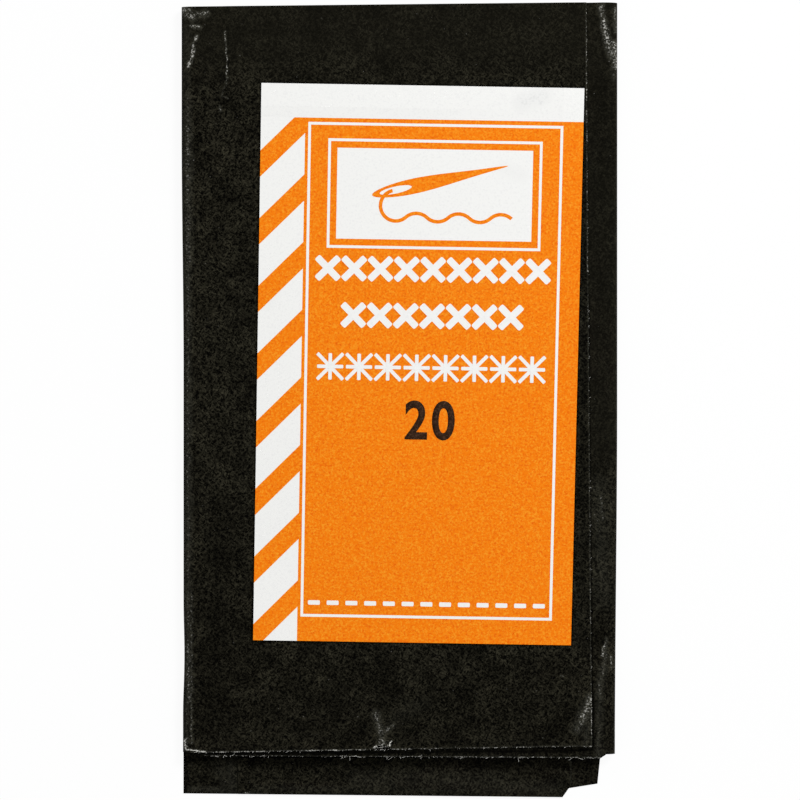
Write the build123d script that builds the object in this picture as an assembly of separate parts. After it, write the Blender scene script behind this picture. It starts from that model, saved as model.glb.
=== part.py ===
from build123d import *
from math import sin
import os

# A flat packet of black paper, letter-folded round one layer of blunt yarn needles, with a
# printed paper label glued to its front flap. It lies on its back, as it does in use.
# X runs across the packet, Y runs up it from the mouth at the foot to the top, and Z stands
# out of its face. The origin is the middle of the footprint, on the surface it lies on.

# Paper
paper_thickness = 0.12
layer_gap = 0.03            # air between two folded layers
slit = 0.10                 # air between two edges that lie side by side

# Needles
needle_count = 25
needle_length = 44.0
needle_diameter = 1.09
tip_diameter = 0.50
tip_taper_length = 7.0
head_width = 1.42
head_thickness = 0.80
head_flare_length = 4.0     # from the flattened head to the round shaft
eye_length = 8.0
eye_width = 0.62
eye_end_wall = 1.10         # metal beyond the eye
gutter_radius = 0.25        # the thread's groove above and below the eye
gutter_depth = 0.10
gutter_length = 2.6
needle_side_gap = 0.06
needle_face_gap = 0.05      # between the needles and the paper on either face
needle_stagger = 0.90       # loose needles don't end on one line
stagger_turn = 2.4          # radians from one needle to the next

# Room round the needles, which settles the packet's length and width
fold_room = 1.15            # from the outer needles to the start of a side fold
mouth_cover = 2.20          # from the lip to the nearest needle
top_room = 24.795

# Wrapper, seen from the front
tongue_depth = 4.355        # foot of the packet below the front flap's lip
lip_rise = 0.62             # the lip climbs to the right
top_drop = 0.40             # the top edge drops to the left
front_flap_inset_head = 2.85
front_flap_inset_foot = 2.33
inner_flap_inset = 2.04     # from the left edge to the inner flap's free edge
inner_lip_drop_left = 0.30  # how far the inner lip shows below the front one
inner_lip_drop_right = 0.50
tongue_inset_head = 1.36    # the tongue's right side, at the inner lip
tongue_inset_foot = 1.63
tongue_corner_drop = 2.58   # from the inner lip down to the tongue's right corner
right_fold_rise = 0.34      # the right fold ends a little above the inner lip
foot_climb = 0.35           # the foot climbs to the left edge
top_flap_side_inset = 4.10
top_flap_length = 10.10
bottom_flap_inset_left = 5.20
bottom_flap_inset_right = 4.20
bottom_flap_corner = 0.85       # cut off its lower right corner, across
bottom_flap_corner_rise = 1.20  # and up
tongue_corner_share = 0.70      # how far up that cut the tongue's edge meets it

# Label
label_width = 30.55
label_height = 52.70
label_thickness = 0.10
label_foot_trim_left = 0.09     # cut a little narrower towards its foot
label_foot_trim_right = 0.40
label_turn = -0.95          # degrees
label_offset_x = 1.80
label_offset_y = 3.44

overrun = 1.0               # how far a cut runs past the metal

# Layers from the back up: panel, hem, needles, top flap, inner flap, front flap, label
bottom_flap_z = paper_thickness
needle_axis_z = 2 * paper_thickness + needle_face_gap + needle_diameter / 2
top_flap_z = needle_axis_z + needle_diameter / 2 + needle_face_gap
inner_flap_z = top_flap_z + paper_thickness + layer_gap
front_flap_z = inner_flap_z + paper_thickness + layer_gap
label_z = front_flap_z + paper_thickness
top_fold_radius = (top_flap_z + paper_thickness) / 2
right_fold_radius = (inner_flap_z + paper_thickness) / 2
left_fold_radius = (front_flap_z + paper_thickness) / 2

# Packet's outline
needle_pitch = head_width + needle_side_gap
needle_row_width = needle_count * needle_pitch - needle_side_gap
half_width = needle_row_width / 2 + fold_room + left_fold_radius
packet_length = tongue_depth + mouth_cover + needle_length + top_room
head_y = packet_length / 2
foot_y = -packet_length / 2
head_left_y = head_y - top_drop
lip_left_y = foot_y + tongue_depth
lip_right_y = lip_left_y + lip_rise
inner_lip_left_y = lip_left_y - inner_lip_drop_left
inner_lip_right_y = lip_left_y - inner_lip_drop_right
left_fold_x = -half_width + left_fold_radius
right_fold_x = half_width - right_fold_radius
right_fold_foot_y = inner_lip_right_y + right_fold_rise
tongue_right_x = half_width - tongue_inset_head
top_fold_y = head_left_y - top_fold_radius
top_flap_half = half_width - top_flap_side_inset
bottom_flap_left_x = -half_width + bottom_flap_inset_left
bottom_flap_right_x = half_width - bottom_flap_inset_right
bottom_flap_head_y = inner_lip_right_y - slit
foot_right_x = bottom_flap_right_x - bottom_flap_corner
foot_fall = foot_climb / (foot_right_x + half_width)
tongue_step_x = foot_right_x + bottom_flap_corner * tongue_corner_share
tongue_step_y = foot_y + bottom_flap_corner_rise * tongue_corner_share


def paper(corners, underside_z, thickness=paper_thickness):
    """A flat piece with the given outline."""
    return Pos(0, 0, underside_z) * extrude(make_face(Polyline(*corners, close=True)), thickness)


def foot_line(x):
    """The point of the packet's foot at a given place across it."""
    return x, foot_y + foot_fall * (foot_right_x - x)


def half_ring(radius, side):
    """The section of a fold: half a ring, open towards the packet's middle."""
    ring = Circle(radius) - Circle(radius - paper_thickness)
    return ring & Pos(side * radius, 0) * Rectangle(2 * radius, 2 * radius)


def side_fold(centre_x, radius, side, low_y, high_y):
    """A fold that runs up the packet."""
    section = Plane(origin=(centre_x, high_y, radius), x_dir=(1, 0, 0), z_dir=(0, -1, 0))
    return extrude(section * half_ring(radius, side), high_y - low_y)


def back_panel():
    """The back of the wrapper, with the tongue that reaches below the flaps."""
    return paper(
        [
            foot_line(-half_width),
            foot_line(foot_right_x),
            (tongue_step_x, tongue_step_y),
            (half_width - tongue_inset_foot, inner_lip_right_y - tongue_corner_drop),
            (tongue_right_x, inner_lip_right_y),
            (right_fold_x, right_fold_foot_y),
            (right_fold_x, head_y),
            (top_flap_half, head_y),
            (top_flap_half, top_fold_y),
            (-top_flap_half, top_fold_y),
            (-top_flap_half, head_left_y),
            (left_fold_x, head_left_y),
            (left_fold_x, lip_left_y - slit),
            (-half_width, lip_left_y - slit),
        ],
        0,
    )


def top_fold():
    """The fold at the top, which turns the top flap down inside."""
    section = Plane(
        origin=(-top_flap_half, top_fold_y, top_fold_radius), x_dir=(0, 1, 0), z_dir=(1, 0, 0)
    )
    return extrude(section * half_ring(top_fold_radius, 1), 2 * top_flap_half)


def top_flap():
    """The end of the sheet that is turned down over the needles."""
    low_y = head_left_y - top_flap_length
    return paper(
        [
            (-top_flap_half, low_y),
            (top_flap_half, low_y),
            (top_flap_half, top_fold_y),
            (-top_flap_half, top_fold_y),
        ],
        top_flap_z,
    )


def inner_flap():
    """The flap that is folded over first, from the right."""
    free_x = -half_width + inner_flap_inset
    return paper(
        [
            (free_x, inner_lip_left_y),
            (tongue_right_x, inner_lip_right_y),
            (right_fold_x, right_fold_foot_y),
            (right_fold_x, head_y),
            (free_x, head_left_y),
        ],
        inner_flap_z,
    )


def front_flap():
    """The flap that is folded over last, from the left, and carries the label."""
    return paper(
        [
            (left_fold_x, lip_left_y),
            (half_width - front_flap_inset_foot, lip_right_y),
            (half_width - front_flap_inset_head, head_y),
            (left_fold_x, head_left_y),
        ],
        front_flap_z,
    )


def bottom_flap():
    """The hem turned in on the tongue. It hinges on its lower edge."""
    return paper(
        [
            foot_line(bottom_flap_left_x),
            foot_line(foot_right_x),
            (bottom_flap_right_x, foot_y + bottom_flap_corner_rise),
            (bottom_flap_right_x, bottom_flap_head_y),
            (bottom_flap_left_x, bottom_flap_head_y),
        ],
        bottom_flap_z,
    )


def label():
    """The printed paper label, glued on a little askew."""
    side = label_width / 2
    end = label_height / 2
    corners = [
        (-side + label_foot_trim_left, -end),
        (side - label_foot_trim_right, -end),
        (side, end),
        (-side, end),
    ]
    flat = paper(corners, label_z, label_thickness)
    return Pos(label_offset_x, label_offset_y) * Rot(0, 0, label_turn) * flat


def needle_round():
    """The needle as turned from wire: a round head, a shaft and a blunt tapered point."""
    head_radius = head_width / 2
    shaft_radius = needle_diameter / 2
    tip_radius = tip_diameter / 2
    flare_y = eye_end_wall + eye_length
    tip_y = needle_length - tip_radius
    side = Polyline(
        (head_radius, head_radius),
        (head_radius, flare_y),
        (shaft_radius, flare_y + head_flare_length),
        (shaft_radius, needle_length - tip_taper_length),
        (tip_radius, tip_y),
    )
    head_arc = CenterArc((0, head_radius), head_radius, -90, 90)
    tip_arc = CenterArc((0, tip_y), tip_radius, 0, 90)
    axis_line = Line((0, needle_length), (0, 0))
    return revolve(make_face(Curve() + [head_arc, side, tip_arc, axis_line]), Axis.Y)


def needle_flattening():
    """The space between the dies that flatten the head, which widens to clear the shaft."""
    low = head_thickness / 2
    high = needle_diameter / 2
    flare_y = eye_end_wall + eye_length
    outline = [
        (-overrun, -low),
        (flare_y, -low),
        (flare_y + head_flare_length, -high),
        (flare_y + head_flare_length, -high - overrun),
        (needle_length + overrun, -high - overrun),
        (needle_length + overrun, high + overrun),
        (flare_y + head_flare_length, high + overrun),
        (flare_y + head_flare_length, high),
        (flare_y, low),
        (-overrun, low),
    ]
    side_view = Plane(origin=(-head_width, 0, 0), x_dir=(0, 1, 0), z_dir=(1, 0, 0))
    return extrude(side_view * make_face(Polyline(*outline, close=True)), 2 * head_width)


def gutter(low_y, low_z, high_y, high_z):
    """A round groove, whose floor runs between two points over the needle's middle line."""
    start = Vector(0, low_y, low_z + gutter_radius)
    run = Vector(0, high_y, high_z + gutter_radius) - start
    return extrude(Plane(origin=start, z_dir=run) * Circle(gutter_radius), run.length)


def needle():
    """A blunt yarn needle along Y, with the end of its eye at the origin."""
    floor_z = head_thickness / 2 - gutter_depth
    rim_z = needle_diameter / 2
    eye_head_y = eye_end_wall + eye_length
    eye = Rot(0, 0, 90) * SlotOverall(eye_length, eye_width)
    eye_cut = extrude(Pos(0, eye_end_wall + eye_length / 2) * eye, needle_diameter, both=True)
    grooves = [
        gutter(eye_head_y - eye_width / 2, floor_z, eye_head_y + gutter_length, rim_z),
        gutter(-overrun, floor_z, eye_end_wall + eye_width / 2, floor_z),
    ]
    cuts = [eye_cut] + grooves + [mirror(groove, Plane.XY) for groove in grooves]
    return (needle_round() & needle_flattening()) - cuts


def needle_place(number):
    """Where a needle lies, with its eye towards the mouth."""
    place = -needle_row_width / 2 + head_width / 2 + number * needle_pitch
    drift = needle_stagger * (1 + sin(stagger_turn * number)) / 2
    return Pos(place, lip_left_y + mouth_cover + drift, needle_axis_z)


pieces = {
    "back_panel": back_panel(),
    "left_fold": side_fold(left_fold_x, left_fold_radius, -1, lip_left_y, head_left_y),
    "right_fold": side_fold(right_fold_x, right_fold_radius, 1, right_fold_foot_y, head_y),
    "top_fold": top_fold(),
    "top_flap": top_flap(),
    "inner_flap": inner_flap(),
    "front_flap": front_flap(),
    "bottom_flap": bottom_flap(),
    "label": label(),
}
one_needle = needle()
for number in range(needle_count):
    pieces[f"needle_{number + 1:02d}"] = needle_place(number) * one_needle

os.makedirs("parts", exist_ok=True)
for name, shape in pieces.items():
    export_step(shape, f"parts/{name}.step")
print("width", round(2 * half_width, 3), "length", packet_length)
print("left fold at x", round(left_fold_x, 3), "z", round(left_fold_radius, 3))
print("thickness", round(label_z + label_thickness, 3), "foot at y", foot_y)
print("foot at x 0", round(foot_line(0)[1], 4), "falls by", round(foot_fall, 6))
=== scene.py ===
import math
import random

import bmesh
import bpy
from mathutils import Matrix, Vector, noise


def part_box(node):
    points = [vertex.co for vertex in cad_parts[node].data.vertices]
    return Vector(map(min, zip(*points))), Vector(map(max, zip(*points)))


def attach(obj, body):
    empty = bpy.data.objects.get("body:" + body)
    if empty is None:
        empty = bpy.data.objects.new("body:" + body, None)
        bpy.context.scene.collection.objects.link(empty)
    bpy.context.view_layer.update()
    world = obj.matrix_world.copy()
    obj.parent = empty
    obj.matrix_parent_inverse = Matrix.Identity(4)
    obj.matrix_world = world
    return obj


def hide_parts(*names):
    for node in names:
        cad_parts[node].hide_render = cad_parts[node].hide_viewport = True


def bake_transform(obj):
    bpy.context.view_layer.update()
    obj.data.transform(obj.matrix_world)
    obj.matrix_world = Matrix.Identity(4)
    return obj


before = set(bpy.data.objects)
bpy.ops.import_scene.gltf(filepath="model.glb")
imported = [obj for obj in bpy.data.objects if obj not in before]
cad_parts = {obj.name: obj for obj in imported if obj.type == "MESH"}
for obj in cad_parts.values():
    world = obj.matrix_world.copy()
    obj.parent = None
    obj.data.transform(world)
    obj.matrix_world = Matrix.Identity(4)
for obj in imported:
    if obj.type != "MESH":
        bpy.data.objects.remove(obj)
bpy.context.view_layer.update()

# The wrapper: one sheet of thin black anti-tarnish paper, cut to shape with a knife.
# Its right side is folded over the needles first, and its top end is turned down inside.
# The tongue at the foot stays flat. Handling has rubbed its folds and creases pale.

MM = 0.001
TOUCH = 0.001 * MM
PAPER = 0.12 * MM
WRAPPER_SQUARE = 0.6 * MM
FOLD_STEPS = 10

back_low, back_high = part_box("back_panel")
right_low, right_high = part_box("right_fold")
left_low, left_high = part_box("left_fold")
top_low, top_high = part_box("top_fold")
turned_low, turned_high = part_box("top_flap")
inner_low, inner_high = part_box("inner_flap")
hem_low, hem_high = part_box("bottom_flap")

RIGHT_FOLD_X = right_low.x
RIGHT_EDGE = right_high.x
LEFT_FOLD_X = left_high.x
LEFT_EDGE = left_low.x
TOP_FOLD_Y = top_low.y
FOOT = back_low.y
HEAD = back_high.y
HEAD_LEFT = left_high.y
NOTCH_Y = left_low.y - 0.10 * MM
RIGHT_FOLD_FOOT = right_low.y
INNER_LIP = inner_low.y
INNER_LIP_LEFT = inner_low.y + 0.20 * MM
TONGUE_CORNER_X = RIGHT_EDGE - 1.63 * MM
TONGUE_CORNER_Y = INNER_LIP - 2.58 * MM
TONGUE_SIDE_X = RIGHT_EDGE - 1.36 * MM
HEM_CORNER = 0.85 * MM
HEM_CORNER_RISE = 1.20 * MM
TONGUE_SHARE = 0.70
FOOT_CLIMB = 0.35 * MM


def foot_line(x):
    """The point of the packet's foot at a given place across it. It climbs to the left."""
    foot_right = hem_high.x - HEM_CORNER
    return x, FOOT + FOOT_CLIMB * (foot_right - x) / (foot_right - LEFT_EDGE)


def fold_radius(low, high):
    """Radius of a fold's middle layer."""
    return (high.z - low.z - PAPER) / 2


RIGHT_RADIUS = fold_radius(right_low, right_high)
TOP_RADIUS = fold_radius(top_low, top_high)


def with_parts(faces):
    """Faces with their edges and points, each once, as a cut takes them."""
    edges = [edge for face in faces for edge in face.edges]
    points = [vert for face in faces for vert in face.verts]
    return list(dict.fromkeys([*faces, *edges, *points]))


def lay_panel(bm, corners, scores_x, scores_y, square):
    """Adds a flat convex panel, cut into small squares along lines that all panels share."""
    panel = [bm.faces.new([bm.verts.new((x, y, 0)) for x, y in corners])]
    for axis, scores in ((0, scores_x), (1, scores_y)):
        spread = [corner[axis] for corner in corners]
        low, high = min(spread), max(spread)
        lines = [n * square for n in range(math.ceil(low / square), math.ceil(high / square))]
        lines = [line for line in lines if all(abs(line - score) > square / 4 for score in scores)]
        normal = Vector((1 - axis, axis, 0))
        ahead, behind = panel, []
        for line in sorted([*lines, *scores]):
            if not low + TOUCH < line < high - TOUCH:
                continue
            cut = bmesh.ops.bisect_plane(
                bm, geom=with_parts(ahead), dist=TOUCH / 10, plane_co=normal * line, plane_no=normal
            )
            faces = [item for item in cut["geom"] if isinstance(item, bmesh.types.BMFace)]
            ahead = [face for face in faces if face.calc_center_median()[axis] > line]
            behind += [face for face in faces if face.calc_center_median()[axis] <= line]
        panel = ahead + behind
    return list(dict.fromkeys(vert for face in panel for vert in face.verts))


def fold_over(verts, axis, line, side, radius):
    """Rolls what lies past a fold line up and back over the rest of the sheet."""
    for vert in verts:
        run = (vert.co[axis] - line) * side
        if run <= 0:
            continue
        turn = min(run / radius, math.pi)
        flat = run - turn * radius
        vert.co[axis] = line + side * (radius * math.sin(turn) - flat)
        vert.co.z += radius * (1 - math.cos(turn))


def smooth(value, low, high):
    """0 below low and 1 above high, with a soft climb between."""
    share = min(max((value - low) / (high - low), 0), 1)
    return share * share * (3 - 2 * share)


def near_stroke(x, y, stroke):
    """How near a point is to a crease, from 1 on its line to 0 at its width."""
    start, end = Vector(stroke[0]), Vector(stroke[1])
    run = end - start
    share = min(max((Vector((x, y)) - start).dot(run) / run.length_squared, 0), 1)
    away = (Vector((x, y)) - start - run * share).length
    return 1 - smooth(away, 0, stroke[2])


def ripple(x, y, size, seed):
    """Gentle waviness between 0 and 1."""
    return 0.5 + 0.5 * noise.noise(Vector((x / size, y / size, seed)))


def hand_lean(x, y):
    """How far a side fold strays from its line, because the packet is folded by hand."""
    across, up = x / MM, y / MM
    left = -0.09 + 0.18 * smooth(-up, -25, -3) + 0.08 * (1 - smooth(abs(up + 24), 0, 5))
    left -= 0.05 * smooth(-up, 26, 30)
    right = 0.12 - 0.22 * smooth(-up, 0, 35)
    at_left = 1 - smooth(across - LEFT_EDGE / MM, 0.5, 6)
    at_right = 1 - smooth(RIGHT_EDGE / MM - across, 0.5, 6)
    return (left * at_left + right * at_right) * MM


# Creases and rubbed places, in mm: start, end, width, height, paleness
WRAPPER_CREASES = [
    ((19.05, 37.5), (19.30, 36.0), 0.55, 0.10, 0.58),
    ((19.30, 36.0), (19.70, 34.1), 0.50, 0.12, 0.74),
    ((19.70, 34.1), (20.05, 32.7), 0.64, 0.08, 0.66),
    ((20.30, 33.9), (20.55, 31.6), 0.50, 0.03, 0.68),
    ((20.35, 37.2), (20.50, 35.0), 0.40, 0.00, 0.46),
    ((20.10, 31.6), (20.30, 30.4), 0.34, 0.00, 0.34),
    ((18.90, -8.2), (19.30, -18.8), 1.50, 0.00, 0.16),
    ((19.05, -9.0), (19.25, -11.2), 0.22, 0.00, 0.44),
    ((19.60, -22.6), (19.35, -25.4), 0.34, 0.14, 0.40),
    ((19.35, -25.4), (18.85, -27.8), 0.60, 0.20, 0.38),
    ((18.95, -27.8), (18.85, -33.6), 0.60, 0.10, 0.30),
    ((19.45, -22.9), (19.20, -24.2), 0.20, 0.04, 0.74),
    ((19.95, -24.3), (20.10, -25.3), 0.26, 0.04, 0.56),
    ((20.50, -22.0), (20.50, -26.5), 0.26, 0.00, 0.50),
    ((20.45, -29.2), (20.40, -33.4), 0.24, 0.00, 0.46),
    ((20.55, 24.0), (20.55, -20.0), 0.12, 0.00, 0.24),
    ((-19.9, -36.9), (-16.2, -37.0), 0.40, 0.00, 0.26),
    ((-17.2, -34.2), (-16.6, -37.0), 0.80, 0.02, 0.14),
    ((-16.1, -34.0), (-15.8, -37.2), 0.90, 0.02, 0.24),
]

# Painted shade, in the same terms: black painted in the gaps under the lips, beside the front
# flap's raised cut edge, in the lip's nick and under the inner lip on the tongue; the broad strokes
# on the right strip only make it darker
WRAPPER_PAINTED_SHADE = [
    ((-18.8, -33.45), (16.0, -33.15), 0.34, 0.00, 0.95),
    ((16.0, -33.15), (18.3, -33.05), 0.26, 0.00, 0.95),
    ((18.33, -33.0), (18.33, -27.6), 0.26, 0.00, 0.95),
    ((18.28, -27.6), (18.20, -18.0), 0.17, 0.00, 0.90),
    ((18.20, -18.0), (17.95, 10.0), 0.12, 0.00, 0.75),
    ((-1.85, -33.1), (-1.45, -33.1), 0.60, 0.00, 1.00),
    ((-20.0, -34.0), (18.4, -34.15), 0.50, 0.00, 0.55),
    ((-20.3, -34.0), (-20.3, -37.2), 0.30, 0.00, 0.60),
    ((19.3, 30.0), (19.2, 23.0), 1.8, 0.00, 0.34),
    ((19.2, 23.0), (19.2, -6.0), 1.8, 0.00, 0.18),
    ((19.2, -19.6), (19.2, -21.6), 1.6, 0.00, 0.36),
]

# Torn edges, in the same terms
WRAPPER_TORN = [
    ((-18.5, INNER_LIP_LEFT / MM), (-2.0, (INNER_LIP_LEFT + INNER_LIP) / 2 / MM), 0.14, 0.00, 0.68),
    ((-2.0, (INNER_LIP_LEFT + INNER_LIP) / 2 / MM), (18.9, INNER_LIP / MM), 0.17, 0.00, 0.80),
]


def crease_height(x, y, creases):
    """How far the creases lift the paper."""
    rise = 0
    for crease in creases:
        rise = max(rise, crease[3] * near_stroke(x / MM, y / MM, crease))
    return rise * MM


def finish_sheet(name, bm, surfaces, rim, body, replaced, thickness=PAPER):
    """Makes an object of a one-layer sheet, remembers its rest shape and gives it thickness."""
    bmesh.ops.recalc_face_normals(bm, faces=bm.faces)
    for face in bm.faces:
        face.smooth = True
    mesh = bpy.data.meshes.new(name)
    bm.to_mesh(mesh)
    bm.free()
    rest = mesh.attributes.new("rest", "FLOAT_VECTOR", "POINT")
    for place, vert in zip(rest.data, mesh.vertices):
        place.vector = vert.co / MM
    piece = bpy.data.objects.new(name, mesh)
    bpy.context.scene.collection.objects.link(piece)
    for material in [*surfaces, rim]:
        mesh.materials.append(material)
    shell = piece.modifiers.new("paper", "SOLIDIFY")
    shell.thickness = thickness
    shell.offset = 0
    shell.material_offset_rim = len(surfaces)
    if body:
        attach(piece, body)
    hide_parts(*replaced)
    return piece


def new_material(name):
    """An empty material with its node tree, shader and a helper that adds nodes."""
    material = bpy.data.materials.new(name)
    material.use_nodes = True
    tree = material.node_tree
    shader = tree.nodes["Principled BSDF"]

    def add(kind, inputs=(), **settings):
        node = tree.nodes.new(kind)
        for key, value in settings.items():
            setattr(node, key, value)
        for key, value in dict(inputs).items():
            if isinstance(value, bpy.types.NodeSocket):
                tree.links.new(value, node.inputs[key])
            else:
                node.inputs[key].default_value = value
        return node

    return material, tree, shader, add


def math_node(add, operation, *values, clamp=False):
    """One sum, with sockets or numbers as its values."""
    node = add("ShaderNodeMath", dict(enumerate(values)), operation=operation, use_clamp=clamp)
    return node.outputs[0]


def vector_node(add, operation, inputs):
    """One sum on vectors."""
    return add("ShaderNodeVectorMath", inputs, operation=operation).outputs[0]


def ramp(add, value, low, high, start=0.0, end=1.0):
    """A straight climb from start to end as a value goes from low to high."""
    node = add(
        "ShaderNodeMapRange",
        {"Value": value, "From Min": low, "From Max": high, "To Min": start, "To Max": end},
    )
    return node.outputs[0]


def fine_noise(add, place, scale, detail, roughness=0.6, distortion=0.0):
    """Noise whose scale is in features for each millimetre."""
    node = add(
        "ShaderNodeTexNoise",
        {
            "Vector": place,
            "Scale": scale,
            "Detail": detail,
            "Roughness": roughness,
            "Distortion": distortion,
        },
    )
    return node.outputs["Fac"]


def mix_colour(add, share, first, second):
    """Two colours mixed by a share."""
    node = add("ShaderNodeMix", {"Factor": share}, data_type="RGBA")
    for key, value in ((6, first), (7, second)):
        if isinstance(value, bpy.types.NodeSocket):
            node.id_data.links.new(value, node.inputs[key])
        else:
            node.inputs[key].default_value = (*value, 1)
    return node.outputs[2]


def wear_and_painted_light_marks(add, place, creases):
    """How strongly the listed strokes mark a place: 0 away from them, up to each stroke's paleness
    on its line. The strokes are creases that have rubbed the dye off, smudges, painted highlights,
    painted sheen and painted shade.
    """
    flat = vector_node(add, "MULTIPLY", {0: place, 1: (1, 1, 0)})
    marks = 0.0
    for start, end, width, _, paleness in creases:
        run = Vector((*end, 0)) - Vector((*start, 0))
        offset = vector_node(add, "SUBTRACT", {0: flat, 1: (*start, 0)})
        unit = run / run.length_squared
        along = add("ShaderNodeVectorMath", {0: offset, 1: unit}, operation="DOT_PRODUCT")
        share = math_node(add, "MAXIMUM", along.outputs["Value"], 0.0)
        share = math_node(add, "MINIMUM", share, 1.0)
        foot = vector_node(add, "SCALE", {0: run, "Scale": share})
        away = add("ShaderNodeVectorMath", {0: offset, 1: foot}, operation="DISTANCE")
        mark = ramp(add, away.outputs["Value"], 0.0, width, paleness, 0.0)
        marks = math_node(add, "MAXIMUM", marks, mark)
    return marks


BLACK = (0.0006, 0.0005, 0.0003)
BLACK_FIBRE = (0.0400, 0.0370, 0.0240)
PRESSED_FELT = 0.19
OLIVE_RUB_AND_SHEEN = (0.064, 0.063, 0.048)
PALE_FIBRE = (0.70, 0.69, 0.64)


def black_paper(name, creases, torn, painted_shade_and_darker=(), smooth_from=29.0):
    """Dyed black paper: a felt of fine fibres, smooth near the top, darker near the foot."""
    material, tree, shader, add = new_material(name)
    place = add("ShaderNodeAttribute", attribute_name="rest").outputs["Vector"]
    wander = add(
        "ShaderNodeTexNoise", {"Vector": place, "Scale": 1.3, "Detail": 4.0, "Roughness": 0.65}
    ).outputs["Color"]
    sway = vector_node(add, "SUBTRACT", {0: wander, 1: (0.5, 0.5, 0.5)})
    sway = vector_node(add, "SCALE", {0: sway, "Scale": 0.75})
    swayed = vector_node(add, "ADD", {0: place, 1: sway})
    lays = []
    for turn in (54, -38):
        lay = add(
            "ShaderNodeMapping",
            {"Vector": swayed, "Rotation": (0, 0, math.radians(turn)), "Scale": (2.6, 1, 1)},
            vector_type="TEXTURE",
        )
        lays.append(fine_noise(add, lay.outputs[0], 6.0, 2.0, 0.6))
    fibre = math_node(add, "MAXIMUM", *lays)
    grit = fine_noise(add, place, 6.0, 2.5, 0.6)
    cloud = fine_noise(add, place, 0.45, 4.0, 0.62)
    thick = ramp(add, cloud, 0.32, 0.68, 0.40, 1.40)
    felt = math_node(add, "MULTIPLY", ramp(add, fibre, 0.48, 0.76), thick)
    felt = math_node(add, "ADD", felt, ramp(add, grit, 0.34, 0.74, -0.14, 0.22), clamp=True)
    up = add("ShaderNodeSeparateXYZ", {0: place}).outputs["Y"]
    felt = add(
        "ShaderNodeMix",
        {0: ramp(add, up, smooth_from, smooth_from + 4.5, 0.0, 0.55), 2: felt, 3: PRESSED_FELT},
    ).outputs[0]
    felt = math_node(add, "MULTIPLY", felt, ramp(add, up, -22.0, -31.0, 1.0, 0.84))
    colour = mix_colour(add, felt, BLACK, BLACK_FIBRE)
    clumps = ramp(add, fine_noise(add, place, 1.4, 2.0), 0.38, 0.62, 0.62, 1.14)
    tears = math_node(add, "MULTIPLY", wear_and_painted_light_marks(add, place, torn), clumps)
    marks = math_node(add, "MAXIMUM", wear_and_painted_light_marks(add, swayed, creases), tears)
    # Marks are laid in olive and pale flakes: rubbed dye at creases and torn edges, and painted
    # highlights and painted sheen where the strokes list them
    fibre_in_marks = ramp(add, fibre, 0.42, 0.74, 0.15, 1.10)
    olive = math_node(add, "MULTIPLY", ramp(add, marks, 0.0, 0.7), fibre_in_marks, clamp=True)
    colour = mix_colour(add, olive, colour, OLIVE_RUB_AND_SHEEN)
    flake = math_node(add, "ADD", grit, math_node(add, "MULTIPLY", marks, 0.26))
    wear_and_painted_highlight = ramp(add, marks, 0.24, 0.84, 0.0, 0.86)
    flake = math_node(add, "MULTIPLY", ramp(add, flake, 0.66, 0.76), wear_and_painted_highlight, clamp=True)
    colour = mix_colour(add, flake, colour, PALE_FIBRE)
    dust = ramp(add, fine_noise(add, place, 4.6, 1.0, 0.5), 0.79, 0.86, 0.0, 0.22)
    colour = mix_colour(add, dust, colour, PALE_FIBRE)
    # Painted shade and shadow: black laid over the colour along the listed strokes, some of which
    # only darken the paper
    if painted_shade_and_darker:
        colour = mix_colour(add, wear_and_painted_light_marks(add, place, painted_shade_and_darker), colour, BLACK)
    tree.links.new(colour, shader.inputs["Base Color"])
    tree.links.new(ramp(add, fibre, 0.3, 0.7, 0.62, 0.80), shader.inputs["Roughness"])
    shader.inputs["Specular IOR Level"].default_value = 0.015
    relief = math_node(add, "ADD", fibre, math_node(add, "MULTIPLY", cloud, 1.6))
    bump = add("ShaderNodeBump", {"Strength": 0.60, "Distance": 0.05 * MM, "Height": relief})
    tree.links.new(bump.outputs[0], shader.inputs["Normal"])
    return material


def torn_edge():
    """The torn edge of the black paper, where undyed fibres show."""
    material, tree, shader, add = new_material("black_paper_torn_edge")
    place = add("ShaderNodeAttribute", attribute_name="rest").outputs["Vector"]
    fray = fine_noise(add, place, 5.0, 3.0, 0.7)
    colour = mix_colour(add, ramp(add, fray, 0.46, 0.66), (0.012, 0.011, 0.008), PALE_FIBRE)
    tree.links.new(colour, shader.inputs["Base Color"])
    shader.inputs["Roughness"].default_value = 0.9
    shader.inputs["Specular IOR Level"].default_value = 0.1
    return material


cut_edge = torn_edge()
wrapper_paper = black_paper(
    "black_wrapper_paper", WRAPPER_CREASES, WRAPPER_TORN, WRAPPER_PAINTED_SHADE, -9.0
)

wrapper = bmesh.new()
right_arc = math.pi * RIGHT_RADIUS
top_arc = math.pi * TOP_RADIUS
turned_half = turned_high.x
hem_right = hem_high.x
free_run = RIGHT_FOLD_X + right_arc + RIGHT_FOLD_X - inner_low.x
lip_run = RIGHT_FOLD_X + right_arc + RIGHT_FOLD_X - TONGUE_SIDE_X
fold_lines_x = [RIGHT_FOLD_X + right_arc * n / FOLD_STEPS for n in range(FOLD_STEPS + 1)]
fold_lines_y = [TOP_FOLD_Y + top_arc * n / FOLD_STEPS for n in range(FOLD_STEPS + 1)]
tongue_step = (hem_right - HEM_CORNER * (1 - TONGUE_SHARE), FOOT + HEM_CORNER_RISE * TONGUE_SHARE)
scores_x = [LEFT_FOLD_X, -turned_half, turned_half, tongue_step[0], TONGUE_SIDE_X, *fold_lines_x]
scores_y = [NOTCH_Y, RIGHT_FOLD_FOOT, *fold_lines_y]

def oblong(left, right, bottom, top):
    """The corners of a rectangle."""
    return [(left, bottom), (right, bottom), (right, top), (left, top)]


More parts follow.
